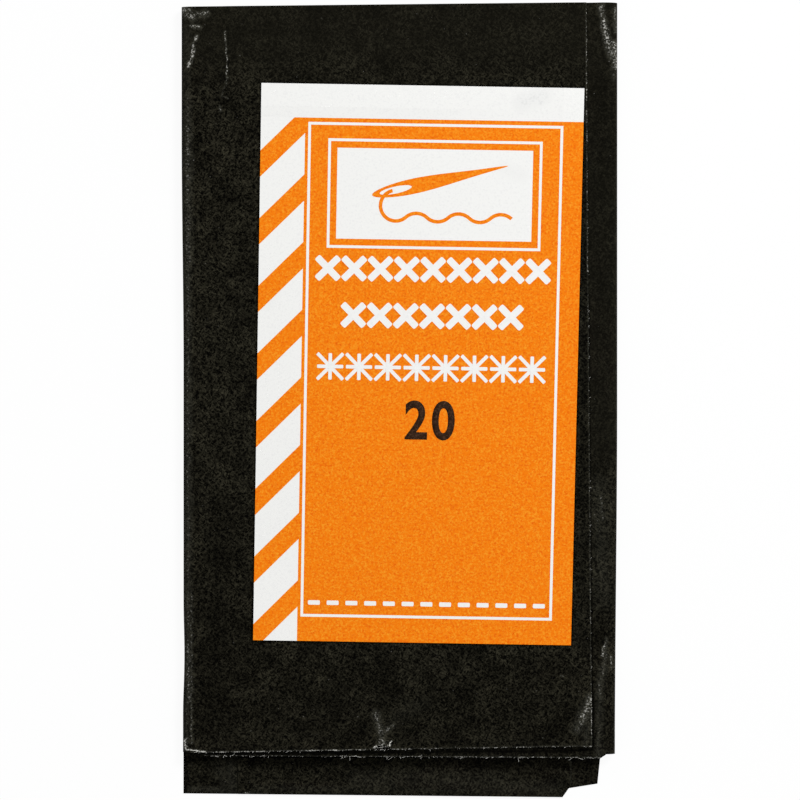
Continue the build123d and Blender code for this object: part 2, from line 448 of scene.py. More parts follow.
flat_panels = [
    oblong(LEFT_FOLD_X, RIGHT_FOLD_X, NOTCH_Y, TOP_FOLD_Y),
    oblong(LEFT_FOLD_X, -turned_half, TOP_FOLD_Y, HEAD_LEFT),
    oblong(turned_half, RIGHT_FOLD_X, TOP_FOLD_Y, HEAD),
    [
        foot_line(LEFT_EDGE),
        foot_line(hem_right - HEM_CORNER),
        tongue_step,
        (tongue_step[0], NOTCH_Y),
        (LEFT_EDGE, NOTCH_Y),
    ],
    [
        tongue_step,
        (TONGUE_CORNER_X, TONGUE_CORNER_Y),
        (TONGUE_SIDE_X, INNER_LIP),
        (TONGUE_SIDE_X, NOTCH_Y),
        (tongue_step[0], NOTCH_Y),
    ],
    [
        (TONGUE_SIDE_X, INNER_LIP),
        (RIGHT_FOLD_X, RIGHT_FOLD_FOOT),
        (RIGHT_FOLD_X, NOTCH_Y),
        (TONGUE_SIDE_X, NOTCH_Y),
    ],
]
right_panels = [
    oblong(RIGHT_FOLD_X, RIGHT_FOLD_X + right_arc, RIGHT_FOLD_FOOT, HEAD),
    [
        (RIGHT_FOLD_X + right_arc, RIGHT_FOLD_FOOT),
        (lip_run, INNER_LIP),
        (free_run, INNER_LIP_LEFT),
        (free_run, HEAD_LEFT),
        (RIGHT_FOLD_X + right_arc, HEAD),
    ],
]
for corners in flat_panels + right_panels:
    lay_panel(wrapper, corners, scores_x, scores_y, WRAPPER_SQUARE)
bmesh.ops.remove_doubles(wrapper, verts=wrapper.verts, dist=TOUCH)
fold_over(wrapper.verts, 0, RIGHT_FOLD_X, 1, RIGHT_RADIUS)

turned_end = TOP_FOLD_Y + top_arc + turned_high.y - turned_low.y
turned_corners = oblong(-turned_half, turned_half, TOP_FOLD_Y, turned_end)
turned = lay_panel(wrapper, turned_corners, scores_x, scores_y, WRAPPER_SQUARE)
fold_over(turned, 1, TOP_FOLD_Y, 1, TOP_RADIUS)
along_fold = [v for v in wrapper.verts if abs(v.co.y - TOP_FOLD_Y) < TOUCH and v.co.z < TOUCH]
bmesh.ops.remove_doubles(wrapper, verts=along_fold, dist=TOUCH)
for vert in wrapper.verts:
    x, y, z = vert.co
    on_inner_flap = z > RIGHT_RADIUS * 1.5
    if on_inner_flap or y < NOTCH_Y:
        vert.co.z += crease_height(x, y, WRAPPER_CREASES)
    vert.co.x += hand_lean(x, y)
    vert.co.z += PAPER / 2
finish_sheet(
    "wrapper_sheet",
    wrapper,
    [wrapper_paper],
    cut_edge,
    "wrapper",
    ["back_panel", "right_fold", "top_fold", "top_flap", "inner_flap"],
)

# The front flap: the same sheet's left side, folded over last, so it lies on top of the rest.
# Its lip and right edge are torn along a rule. Its lower right corner has sprung up a little,
# and the top flap beneath has printed its edge through.

FRONT_SQUARE = 0.4 * MM
front_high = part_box("front_flap")[1]
LEFT_RADIUS = fold_radius(left_low, left_high)
LIP_LEFT = left_low.y
LIP_RIGHT = LIP_LEFT + 0.62 * MM
CUT_FOOT_X = front_high.x
CUT_HEAD_X = front_high.x - 0.52 * MM
LIP_BULGE_X = -1.70
LIP_NICK = 0.44 * MM

FRONT_CREASES = [
    ((-16.44, 34.9), (-16.40, 33.8), 0.16, 0.03, 0.66),
    ((-16.40, 33.8), (-16.28, 30.4), 0.12, 0.03, 0.60),
    ((-16.28, 30.4), (-16.72, 28.9), 0.13, 0.02, 0.46),
    ((-16.72, 28.9), (-16.20, 28.6), 0.12, 0.00, 0.40),
    ((-16.95, 27.8), (-16.90, 27.3), 0.18, 0.00, 0.44),
    ((-19.22, 34.5), (-19.45, 33.6), 0.26, 0.04, 0.70),
    ((-19.45, 33.6), (-19.90, 31.6), 0.36, 0.05, 0.70),
    ((-20.35, 37.0), (-19.60, 36.3), 0.80, 0.02, 0.62),
    ((-19.70, 36.5), (-18.30, 36.6), 0.56, 0.00, 0.54),
    ((-19.70, 35.4), (-18.80, 35.3), 0.32, 0.00, 0.66),
    # Along the left fold: rubbed dye, and painted sheen where the rounded fold would reflect the
    # white room
    ((-20.10, 35.4), (-20.05, 27.0), 0.50, 0.00, 0.26),
    ((-20.05, 29.0), (-20.00, 24.0), 0.60, 0.00, 0.32),
    ((-20.00, 26.0), (-19.95, 13.0), 0.66, 0.00, 0.42),
    ((-20.00, 14.0), (-19.95, -24.0), 0.56, 0.00, 0.38),
    ((-19.95, -23.0), (-19.90, -28.5), 0.56, 0.00, 0.48),
    ((-20.05, -28.0), (-20.10, -32.5), 0.40, 0.00, 0.34),
    ((-19.62, -18.0), (-19.66, -32.4), 0.18, 0.02, 0.42),
    ((-20.25, -32.2), (-20.10, -33.0), 0.30, 0.00, 0.90),
    ((-20.10, -33.05), (-18.40, -33.22), 0.17, 0.00, 1.20),
    ((-1.55, -32.4), (-1.80, -31.2), 0.62, 0.06, 0.52),
    ((-1.80, -31.2), (-2.25, -29.6), 0.58, 0.03, 0.50),
    ((-2.28, -32.95), (-2.14, -32.80), 0.26, 0.00, 1.20),
    ((-1.90, -32.60), (-1.40, -32.62), 0.20, 0.00, 1.00),
    ((-1.05, -32.60), (-0.80, -32.20), 0.18, 0.00, 1.00),
    ((-1.30, -31.30), (-0.60, -30.70), 0.34, 0.00, 0.50),
    ((-0.60, -30.20), (2.20, -28.60), 1.10, 0.00, 0.10),
    # Painted glint: the lifted lower right corner painted pale where it would catch the lamp
    ((18.10, -28.30), (17.30, -29.90), 0.75, 0.06, 0.62),
    ((17.80, -29.40), (16.90, -31.00), 0.90, 0.06, 0.46),
    ((17.90, -30.60), (17.60, -32.20), 0.50, 0.02, 0.30),
    ((15.30, -26.0), (15.50, -26.1), 0.12, 0.00, 0.70),
]
FRONT_TORN = [
    ((CUT_HEAD_X / MM, HEAD / MM), (CUT_HEAD_X / MM + 0.12, 12.0), 0.15, 0.00, 0.58),
    ((CUT_HEAD_X / MM + 0.12, 12.0), (CUT_FOOT_X / MM - 0.05, -28.0), 0.12, 0.00, 0.46),
    ((CUT_FOOT_X / MM - 0.05, -28.0), (CUT_FOOT_X / MM, LIP_RIGHT / MM), 0.16, 0.00, 0.74),
    ((LEFT_FOLD_X / MM, LIP_LEFT / MM), (-1.0, LIP_LEFT / MM + 0.30), 0.17, 0.00, 0.86),
    ((-1.0, LIP_LEFT / MM + 0.30), (CUT_FOOT_X / MM, LIP_RIGHT / MM), 0.17, 0.00, 0.70),
    ((-7.35, 36.2), (-7.28, 36.1), 0.10, 0.00, 0.80),
]

# Painted shadow: a dark line painted along the label's edges; broader strokes darken the paper
# beside the cut edge, at the lower left and near the foot
FRONT_PAINTED_SHADOW_AND_DARKER = [
    ((-13.10, 30.08), (17.50, 29.57), 0.20, 0.00, 0.90),
    ((-13.06, 30.04), (-13.84, -22.66), 0.19, 0.00, 0.85),
    ((17.53, 29.54), (16.26, -23.16), 0.19, 0.00, 0.90),
    ((-13.82, -22.70), (16.24, -23.20), 0.13, 0.00, 0.60),
    ((17.90, 28.00), (17.10, -23.00), 0.80, 0.00, 0.42),
    ((-17.20, -12.00), (-17.20, -30.50), 3.40, 0.00, 0.36),
    ((-12.00, -28.60), (14.00, -29.40), 3.40, 0.00, 0.16),
]


def front_rise(x, y):
    """How far the front flap stands off the layers below it."""
    across, up = x / MM, y / MM
    step = 0.07 * (1 - smooth(abs(across), 16.2, 16.7)) * smooth(up, 27.1, 27.7)
    corner = 0.42 * smooth(across, 14.5, 18.4) * smooth(-up, 25.0, 32.5)
    lip = smooth(-up, 31.2, 33.4) * (1 - smooth(-across, 16.5, 19.0))
    wave = 0.16 * lip * ripple(across, 0, 4.0, 2.0)
    bulge = 0.30 * lip * (1 - smooth(abs(across - LIP_BULGE_X), 0.0, 1.1))
    slack = 0.04 * ripple(across, up, 8.0, 5.0) * smooth(across, -19.4, -15.0)
    return (step + corner + wave + bulge + slack) * MM + crease_height(x, y, FRONT_CREASES)


def lip_notch(x, y):
    """How far the lip is pushed in where something has nicked it."""
    beside = smooth(abs(x / MM - LIP_BULGE_X), 0.25, 1.05)
    above = smooth(y - LIP_LEFT, 0, 2.2 * MM)
    return LIP_NICK * (1 - beside) * (1 - above)


def fray(verts, reach, seed):
    """Makes a torn edge uneven."""
    noise.seed_set(seed)
    for vert in verts:
        across, up, _ = vert.co / MM
        shift = noise.noise_vector(Vector((across * 1.6, up * 1.6, seed)))
        shift += 0.6 * noise.noise_vector(Vector((across * 5.0, up * 5.0, seed + 4)))
        vert.co.x += reach * shift.x * 0.4
        vert.co.y += reach * shift.y


front_paper = black_paper("black_front_paper", FRONT_CREASES, FRONT_TORN, FRONT_PAINTED_SHADOW_AND_DARKER)
front = bmesh.new()
left_arc = math.pi * LEFT_RADIUS
flap_start = LEFT_FOLD_X - left_arc


def unfolded(x):
    """Where a place on the front flap lies before the flap is folded over."""
    return flap_start - (x - LEFT_FOLD_X)


front_scores_x = [LEFT_FOLD_X - left_arc * n / FOLD_STEPS for n in range(FOLD_STEPS + 1)]
strip_corners = oblong(flap_start, LEFT_FOLD_X, LIP_LEFT, HEAD_LEFT)
flap_corners = [
    (unfolded(CUT_FOOT_X), LIP_LEFT),
    (flap_start, LIP_LEFT),
    (flap_start, HEAD_LEFT),
    (unfolded(CUT_HEAD_X), HEAD),
]
for corners in (strip_corners, flap_corners):
    lay_panel(front, corners, front_scores_x, [], FRONT_SQUARE)
bmesh.ops.remove_doubles(front, verts=front.verts, dist=TOUCH)
fold_over(front.verts, 0, LEFT_FOLD_X, -1, LEFT_RADIUS)
lip_slope = (LIP_RIGHT - LIP_LEFT) / (CUT_FOOT_X - LEFT_FOLD_X)
on_flap = [v for v in front.verts if v.co.x > LEFT_FOLD_X + TOUCH and v.co.z > LEFT_RADIUS]
lip_edge = [vert for vert in on_flap if vert.co.y < LIP_LEFT + TOUCH]
for vert in on_flap:
    near_lip = 1 - smooth(vert.co.y - LIP_LEFT, 0, 5 * MM)
    vert.co.y += lip_slope * (vert.co.x - LEFT_FOLD_X) * near_lip
for vert in front.verts:
    x, y, z = vert.co
    if z > LEFT_RADIUS * 1.5:
        vert.co.z += front_rise(x, y) * smooth(x - LEFT_FOLD_X, 0, 2 * MM)
        vert.co.y += lip_notch(x, y)
    vert.co.x += hand_lean(x, y) * (1 - smooth(x - LEFT_FOLD_X, 0, 4 * MM))
    vert.co.z += PAPER / 2
fray(lip_edge, 0.07 * MM, 1)
front_sheet = finish_sheet(
    "front_sheet", front, [front_paper], cut_edge, None, ["left_fold", "front_flap"]
)
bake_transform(front_sheet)

# The hem: the foot of the sheet, turned up on the tongue and pressed flat.
# It is only creased, not glued. The table has rubbed its fold, and its polished middle is painted
# paler as a painted sheen.

HEM_MIDDLE = 1.5 * PAPER
HEM_CREASES = [
    ((-15.0, -37.3), (15.4, -37.6), 0.14, 0.00, 0.14),
    # Broad pale strokes: painted sheen on the polished middle
    ((-4.0, -36.2), (9.5, -36.2), 1.60, 0.00, 0.12),
    ((5.0, -36.6), (15.0, -36.8), 1.10, 0.00, 0.13),
    ((-13.5, -36.8), (15.0, -37.1), 0.50, 0.00, 0.12),
    ((-14.6, -37.3), (-14.3, -37.3), 0.16, 0.00, 0.80),
]
HEM_TORN = [
    ((-15.30, -34.2), (-15.34, -37.2), 0.10, 0.00, 0.16),
    ((16.33, -34.3), (16.33, -36.3), 0.12, 0.00, 0.42),
]
hem_paper = black_paper("black_hem_paper", HEM_CREASES, HEM_TORN)
hem = bmesh.new()
lay_panel(
    hem,
    [
        foot_line(hem_low.x),
        foot_line(hem_right - HEM_CORNER),
        (hem_right, FOOT + HEM_CORNER_RISE),
        (hem_right, hem_high.y),
        (hem_low.x, hem_high.y),
    ],
    [],
    [],
    FRONT_SQUARE,
)
for vert in hem.verts:
    x, y, _ = vert.co
    free = smooth(y - FOOT, 0.4 * MM, hem_high.y - FOOT)
    vert.co.z = HEM_MIDDLE + 0.10 * MM * free * ripple(x / MM, y / MM, 5.0, 9.0)
finish_sheet("hem_sheet", hem, [hem_paper], cut_edge, "hem", ["bottom_flap"])

# Torn fibres: where the sheet was torn along a rule, pale undyed fibres stand out of its lips.
# They are the paper's own, a twentieth of a millimetre thick and up to a millimetre long.

FIBRE_SIDES = 3
FIBRE_STEPS = 4
FIBRE_THICKNESS = 0.038 * MM
DYED_FIBRE = (0.20, 0.195, 0.17)
UNDYED_FIBRE = (0.80, 0.79, 0.74)


def add_fibre(bm, root, heading, length, bend):
    """One loose fibre, which curves away from its root."""
    rod = bmesh.ops.create_circle(bm, segments=FIBRE_SIDES, radius=FIBRE_THICKNESS / 2)["verts"]
    turn = Vector((0, 0, 1)).rotation_difference(heading).to_matrix()
    for vert in rod:
        vert.co = turn @ vert.co + root
    side = heading.orthogonal().normalized()
    edges = list(dict.fromkeys(edge for vert in rod for edge in vert.link_edges))
    bmesh.ops.spin(
        bm,
        geom=rod + edges,
        cent=root + side * (length / bend),
        axis=heading.cross(side),
        angle=bend,
        steps=FIBRE_STEPS,
    )


def add_fibres(bm, dice, start, end, height, count, longest, heading):
    """Fibres scattered along a torn edge."""
    for _ in range(count):
        share = dice.random()
        root = Vector(start).lerp(Vector(end), share).to_3d()
        root.z = height(root.x, root.y) - dice.random() * PAPER
        across = dice.choice((-1, 1)) * dice.uniform(0.3, 2.0)
        way = Vector(heading) + Vector([across, dice.uniform(-0.5, 0.7), 0.0])
        way.z = dice.uniform(-0.15, 0.35)
        size = longest * (0.14 + 0.86 * dice.random() ** 4)
        root -= way.normalized() * size * 0.3
        add_fibre(bm, root, way.normalized(), size, dice.uniform(0.3, 1.9))


def fibre_piece(name, bm, body):
    """Makes an object of a set of fibres."""
    bmesh.ops.recalc_face_normals(bm, faces=bm.faces)
    mesh = bpy.data.meshes.new(name)
    bm.to_mesh(mesh)
    bm.free()
    piece = bpy.data.objects.new(name, mesh)
    bpy.context.scene.collection.objects.link(piece)
    mesh.materials.append(fibre_material)
    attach(piece, body)
    return piece


fibre_material, fibre_tree, fibre_shader, add_node = new_material("undyed_fibre")
fibre_place = add_node("ShaderNodeTexCoord").outputs["Object"]
fibre_grain = fine_noise(add_node, fibre_place, 2500.0, 2.0)
fibre_share = ramp(add_node, fibre_grain, 0.3, 0.7)
fibre_colour = mix_colour(add_node, fibre_share, DYED_FIBRE, UNDYED_FIBRE)
fibre_tree.links.new(fibre_colour, fibre_shader.inputs["Base Color"])
fibre_shader.inputs["Roughness"].default_value = 0.9
fibre_shader.inputs["Specular IOR Level"].default_value = 0.15


def front_top(x, y):
    """Height of the front flap's face."""
    return front_high.z + front_rise(x, y)


def inner_top(x, y):
    """Height of the inner flap's face."""
    return inner_high.z + crease_height(x, y, WRAPPER_CREASES)


dice = random.Random(7)
front_fibres = bmesh.new()
lip_foot = (CUT_FOOT_X, LIP_RIGHT)
nick = ((-2.4 * MM, LIP_LEFT + 0.45 * MM), (-0.8 * MM, LIP_LEFT + 0.65 * MM))
for start, end, count, longest, heading in (
    ((LEFT_FOLD_X, LIP_LEFT), lip_foot, 110, 0.34 * MM, (0.5, -0.8, 0)),
    (*nick, 14, 0.5 * MM, (0.6, 0.8, 0)),
    (lip_foot, (CUT_HEAD_X, HEAD), 110, 0.3 * MM, (0.8, 0.8, 0)),
):
    add_fibres(front_fibres, dice, start, end, front_top, count, longest, heading)
fibre_piece("front_lip_fibres", front_fibres, "front_cover")
inner_fibres = bmesh.new()
add_fibres(
    inner_fibres,
    dice,
    (LEFT_FOLD_X + 1.5 * MM, INNER_LIP_LEFT),
    (TONGUE_SIDE_X, INNER_LIP),
    inner_top,
    120,
    0.90 * MM,
    (0.2, -1, 0),
)
fibre_piece("inner_lip_fibres", inner_fibres, "wrapper")

# The label: a slip of uncoated paper printed in orange, guillotined and glued on a little askew.
# White parts are bare paper. It lies on the front flap and follows it, and its lower left
# corner has come unstuck.

LABEL_WIDTH = 30.55 * MM
LABEL_HEIGHT = 52.70 * MM
LABEL_PAPER = 0.10 * MM
LABEL_SQUARE = 1.1 * MM
LABEL_LEFT = -LABEL_WIDTH / 2
LABEL_RIGHT = LABEL_WIDTH / 2
LABEL_TOP = LABEL_HEIGHT / 2
LABEL_BOTTOM = -LABEL_HEIGHT / 2
LABEL_TRIM_LEFT = 0.09 * MM
LABEL_TRIM_RIGHT = 0.40 * MM
LABEL_MIDDLE = (1.80 * MM, 3.44 * MM, 0)
LABEL_TURN = math.radians(-0.95)
LABEL_CURL = 0.26 * MM
LABEL_PLACE = Matrix.Translation(LABEL_MIDDLE) @ Matrix.Rotation(LABEL_TURN, 4, "Z")
label_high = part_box("label")[1]


def on_packet(u, v):
    """Where a place on the label lies on the packet. The print narrows a little to its foot."""
    down = (LABEL_TOP - v) / LABEL_HEIGHT
    right = u / LABEL_WIDTH + 0.5
    narrowed = u + down * (LABEL_TRIM_LEFT * (1 - right) - LABEL_TRIM_RIGHT * right)
    return LABEL_PLACE @ Vector((narrowed, v, 0))


RULE = 0.26 * MM
HEADER = LABEL_TOP - 3.2 * MM
COLUMN = LABEL_LEFT + 4.2 * MM
RULE_LEFT = LABEL_LEFT + 4.5 * MM
RULE_RIGHT = LABEL_RIGHT - 1.9 * MM
RULE_TOP = LABEL_TOP - 3.6 * MM
RULE_BOTTOM = LABEL_BOTTOM + 2.3 * MM
WINDOW_LEFT = LABEL_LEFT + 7.3 * MM
WINDOW_RIGHT = LABEL_RIGHT - 4.7 * MM
WINDOW_TOP = LABEL_TOP - 6.0 * MM
WINDOW_BOTTOM = LABEL_TOP - 14.6 * MM
WINDOW_MARGIN = 0.62 * MM
STRIPE_PITCH = 6.4 * MM
STRIPE_ORANGE = 2.5 * MM

WHITE_PAPER = (0.905, 0.905, 0.885)
GREY_FIBRE = (0.85, 0.85, 0.84)
PRINT_ORANGE = (0.930, 0.212, 0.0025)
THIN_ORANGE = (0.955, 0.325, 0.0160)
DEEP_ORANGE = (0.820, 0.135, 0.0010)
PRINT_BLACK = (0.028, 0.012, 0.005)
THIN_BLACK = (0.075, 0.036, 0.020)
DEEP_BLACK = (0.014, 0.007, 0.004)
EDGE_COLOURS = ((0.86, 0.84, 0.78), (0.9, 0.89, 0.86), (0.70, 0.62, 0.50))
SMUDGE_GREY = (0.42, 0.43, 0.46)


def frame_scores(left, right, bottom, top):
    """Cuts for a frame as wide as the printed rule."""
    return [left, left + RULE, right - RULE, right], [bottom, bottom + RULE, top - RULE, top]


def on_frame(u, v, left, right, bottom, top):
    """Whether a place on the label is on a frame as wide as the printed rule."""
    inside = left < u < right and bottom < v < top
    return inside and not (left + RULE < u < right - RULE and bottom + RULE < v < top - RULE)


outer_frame = (RULE_LEFT, RULE_RIGHT, RULE_BOTTOM, RULE_TOP)
window_frame = (
    WINDOW_LEFT - WINDOW_MARGIN - RULE,
    WINDOW_RIGHT + WINDOW_MARGIN + RULE,
    WINDOW_BOTTOM - WINDOW_MARGIN - RULE,
    WINDOW_TOP + WINDOW_MARGIN + RULE,
)


def on_stripe(u, v):
    """Whether a place in the left column is on a slanted orange stripe."""
    return (v - u - LABEL_TOP) % STRIPE_PITCH < STRIPE_ORANGE


def has_ink(u, v):
    """Whether the orange is printed at a place on the label."""
    if v > HEADER:
        return False
    if u < COLUMN:
        return on_stripe(u, v)
    if on_frame(u, v, *outer_frame) or on_frame(u, v, *window_frame):
        return False
    return not (WINDOW_LEFT < u < WINDOW_RIGHT and WINDOW_BOTTOM < v < WINDOW_TOP)


def label_lift(u, v):
    """How far the label's face stands above its place at rest, over a place on it."""
    place = on_packet(u, v)
    curl = LABEL_CURL * smooth(-u / MM, 8.0, 15.3) * smooth(-v / MM, 17.0, 26.0)
    return front_rise(place.x, place.y) + curl


def label_print(name, colours, spots=()):
    """Orange print or bare paper, which is an even felt of fibres, with the smudges of use."""
    material, tree, shader, add = new_material(name)
    place = add("ShaderNodeAttribute", attribute_name="rest").outputs["Vector"]
    plain, light, dark = colours
    fibre = fine_noise(add, place, 5.4, 2.0, 0.5, 0.6)
    grain = fine_noise(add, place, 4.8, 2.5, 0.6)
    colour = mix_colour(add, ramp(add, fibre, 0.46, 0.66), plain, light)
    colour = mix_colour(add, ramp(add, grain, 0.50, 0.30), colour, dark)
    marks = wear_and_painted_light_marks(add, place, spots)
    smudge = math_node(add, "MULTIPLY", marks, ramp(add, grain, 0.38, 0.62), clamp=True)
    if spots:
        colour = mix_colour(add, smudge, colour, SMUDGE_GREY)
    tree.links.new(colour, shader.inputs["Base Color"])
    shader.inputs["Roughness"].default_value = 0.68
    shader.inputs["Specular IOR Level"].default_value = 0.06
    bump = add("ShaderNodeBump", {"Strength": 0.35, "Distance": 0.02 * MM, "Height": fibre})
    tree.links.new(bump.outputs[0], shader.inputs["Normal"])
    return material


LABEL_SMUDGES = [
    ((11.6, 28.2), (13.6, 28.9), 1.20, 0.00, 0.26),
    ((13.2, 28.6), (13.4, 28.2), 0.50, 0.00, 0.34),
    ((9.8, 21.9), (11.6, 21.3), 1.00, 0.00, 0.12),
    ((-12.5, 9.0), (-11.5, 10.6), 0.80, 0.00, 0.10),
]
bare_label = label_print("bare_label_paper", (WHITE_PAPER, WHITE_PAPER, GREY_FIBRE), LABEL_SMUDGES)
orange_print = label_print("orange_print", (PRINT_ORANGE, THIN_ORANGE, DEEP_ORANGE))
black_print = label_print("black_print", (PRINT_BLACK, THIN_BLACK, DEEP_BLACK))
label_edge = label_print("label_cut_edge", EDGE_COLOURS)

label = bmesh.new()
frame_scores_u, frame_scores_v = zip(frame_scores(*outer_frame), frame_scores(*window_frame))
lay_panel(
    label,
    oblong(LABEL_LEFT, LABEL_RIGHT, LABEL_BOTTOM, LABEL_TOP),
    [COLUMN, WINDOW_LEFT, WINDOW_RIGHT, *frame_scores_u[0], *frame_scores_u[1]],
    [HEADER, WINDOW_BOTTOM, WINDOW_TOP, *frame_scores_v[0], *frame_scores_v[1]],
    LABEL_SQUARE,
)
slant = Vector((-1, 1, 0)).normalized()
for number in range(-8, 4):
    for shift in (0, STRIPE_ORANGE):
        total = LABEL_TOP + number * STRIPE_PITCH + shift
        column = [
            face
            for face in label.faces
            if face.calc_center_median().x < COLUMN and face.calc_center_median().y < HEADER
        ]
        bmesh.ops.bisect_plane(
            label,
            geom=with_parts(column),
            dist=TOUCH / 10,
            plane_co=(0, total, 0),
            plane_no=slant,
        )
for face in label.faces:
    centre = face.calc_center_median()
    face.material_index = int(has_ink(centre.x, centre.y))
for vert in label.verts:
    u, v, _ = vert.co
    vert.co = on_packet(u, v)
    vert.co.z = label_high.z - LABEL_PAPER / 2 + label_lift(u, v)
label_sheet = finish_sheet(
    "label_sheet",
    label,
    [bare_label, orange_print],
    label_edge,
    "front_cover",
    ["label"],
    LABEL_PAPER,
)
for polygon in label_sheet.data.polygons:
    polygon.use_smooth = False

# What is printed on the label: a needle and thread in the window, rows of cross stitches,
# a row of running stitch, and the needle's size. The ink is a thin layer on the label's face.

INK = 0.004 * MM


def cut_fine(bm, square):
    """Cuts flat print along a grid, so that it can follow the label."""
    spread = [vert.co for vert in bm.verts]
    for axis in (0, 1):
        low = min(co[axis] for co in spread)
        high = max(co[axis] for co in spread)
        normal = Vector((1 - axis, axis, 0))
        for n in range(math.ceil(low / square), math.ceil(high / square)):
            bmesh.ops.bisect_plane(
                bm,
                geom=[*bm.verts, *bm.edges, *bm.faces],
                dist=TOUCH / 10,
                plane_co=normal * (n * square),
                plane_no=normal,
            )


def print_piece(name, bm, material):
    """Lays flat print on the label, a hair above its face."""
    cut_fine(bm, LABEL_SQUARE)
    bmesh.ops.triangulate(bm, faces=bm.faces)
    for face in bm.faces:
        if face.normal.z < 0:
            face.normal_flip()
    for vert in bm.verts:
        u, v, layer = vert.co
        vert.co = on_packet(u, v)
        vert.co.z = label_high.z + INK + layer + label_lift(u, v)
    mesh = bpy.data.meshes.new(name)
    bm.to_mesh(mesh)
    bm.free()
    rest = mesh.attributes.new("rest", "FLOAT_VECTOR", "POINT")
    for place, vert in zip(rest.data, mesh.vertices):
        place.vector = vert.co / MM
    piece = bpy.data.objects.new(name, mesh)
    bpy.context.scene.collection.objects.link(piece)
    mesh.materials.append(material)
    layer = piece.modifiers.new("ink", "SOLIDIFY")
    layer.thickness = INK
    layer.offset = -1
    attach(piece, "front_cover")
    return piece


def add_bar(bm, centre, length, width, turn, height=0):
    """A short printed bar with softened corners."""
    bar = bmesh.ops.create_grid(bm, x_segments=1, y_segments=1, size=0.5)["verts"]
    bmesh.ops.scale(bm, vec=(length, width, 1), verts=bar)
    corners = bmesh.ops.bevel(
        bm, geom=bar, offset=width * 0.22, affect="VERTICES", segments=2, profile=0.5, material=-1
    )["verts"]
    bmesh.ops.rotate(bm, verts=corners, matrix=Matrix.Rotation(turn, 3, "Z"))
    bmesh.ops.translate(bm, verts=corners, vec=(*centre, height))


def add_cross(bm, centre, length, width):
    """A cross stitch: one bar over another."""
    add_bar(bm, centre, length, width, math.pi / 4)
    add_bar(bm, centre, length, width, -math.pi / 4, INK)


PANEL_MIDDLE = (RULE_LEFT + RULE_RIGHT) / 2
stitches = bmesh.new()
for drop, count, pitch, length, width in (
    (17.4, 9, 2.50, 2.95, 0.66),
    (21.8, 7, 2.50, 2.95, 0.66),
):
    for number in range(count):
        u = PANEL_MIDDLE + (number - (count - 1) / 2) * pitch * MM
        add_cross(stitches, (u, LABEL_TOP - drop * MM), length * MM, width * MM)
for number in range(8):
    u = PANEL_MIDDLE + (number - 3.5) * 2.75 * MM
    v = LABEL_TOP - 26.7 * MM
    add_cross(stitches, (u, v), 3.5 * MM, 0.34 * MM)
    add_bar(stitches, (u, v), 2.5 * MM, 0.34 * MM, 0, 2 * INK)
    add_bar(stitches, (u, v), 2.5 * MM, 0.34 * MM, math.pi / 2, 3 * INK)
for number in range(13):
    u = PANEL_MIDDLE + (number - 6) * 1.80 * MM
    add_bar(stitches, (u, RULE_BOTTOM + 1.35 * MM), 1.15 * MM, 0.42 * MM, 0)
print_piece("printed_stitches", stitches, bare_label)

SIZE_WIDTH = 4.77 * MM
SIZE_HEIGHT = 3.75 * MM
SIZE_PLACE = (1.28 * MM, -5.31 * MM)
SIZE_WEIGHT = 0.024
SIZE_SPACING = 1.16

size_text = bpy.data.curves.new("size_number", "FONT")
size_text.body = "20"
size_text.offset = SIZE_WEIGHT
size_text.space_character = SIZE_SPACING
size_text.resolution_u = 8
size_carrier = bpy.data.objects.new("size_number_text", size_text)
bpy.context.scene.collection.objects.link(size_carrier)
bpy.context.view_layer.update()
evaluated = size_carrier.evaluated_get(bpy.context.evaluated_depsgraph_get())
size_mesh = bpy.data.meshes.new_from_object(evaluated)
bpy.data.objects.remove(size_carrier)
size_number = bmesh.new()
size_number.from_mesh(size_mesh)
bpy.data.meshes.remove(size_mesh)
xs = [vert.co.x for vert in size_number.verts]
ys = [vert.co.y for vert in size_number.verts]
for vert in size_number.verts:
    across = (vert.co.x - min(xs)) / (max(xs) - min(xs)) - 0.5
    up = (vert.co.y - min(ys)) / (max(ys) - min(ys)) - 0.5
    vert.co = (SIZE_PLACE[0] + across * SIZE_WIDTH, SIZE_PLACE[1] + up * SIZE_HEIGHT, 0)
print_piece("printed_size_number", size_number, black_print)

PICTURE_PLACE = (
    Matrix.Translation(((WINDOW_LEFT + WINDOW_RIGHT) / 2, (WINDOW_BOTTOM + WINDOW_TOP) / 2, 0))
    @ Matrix.Scale(MM, 4)
)
PICTURE_NEEDLE = Matrix.Translation((0.5, 1.35, 0)) @ Matrix.Rotation(math.radians(13), 4, "Z")


def add_thread(bm, place, heading, turns, width):
    """A printed thread: a narrow band that runs through a row of arcs, each radius and angle."""
    side = Vector((-math.sin(heading), math.cos(heading), 0))
    last = [bm.verts.new(place + side * width / 2), bm.verts.new(place - side * width / 2)]
    last.append(bm.edges.new(last))
    for radius, angle in turns:
        side = Vector((-math.sin(heading), math.cos(heading), 0))
        centre = place + side * math.copysign(radius, angle)
        steps = math.ceil(abs(angle) / 0.12)
        run = bmesh.ops.spin(bm, geom=last, cent=centre, axis=(0, 0, 1), angle=angle, steps=steps)
        last = run["geom_last"]
        place = centre + Matrix.Rotation(angle, 3, "Z") @ (place - centre)
        heading += angle


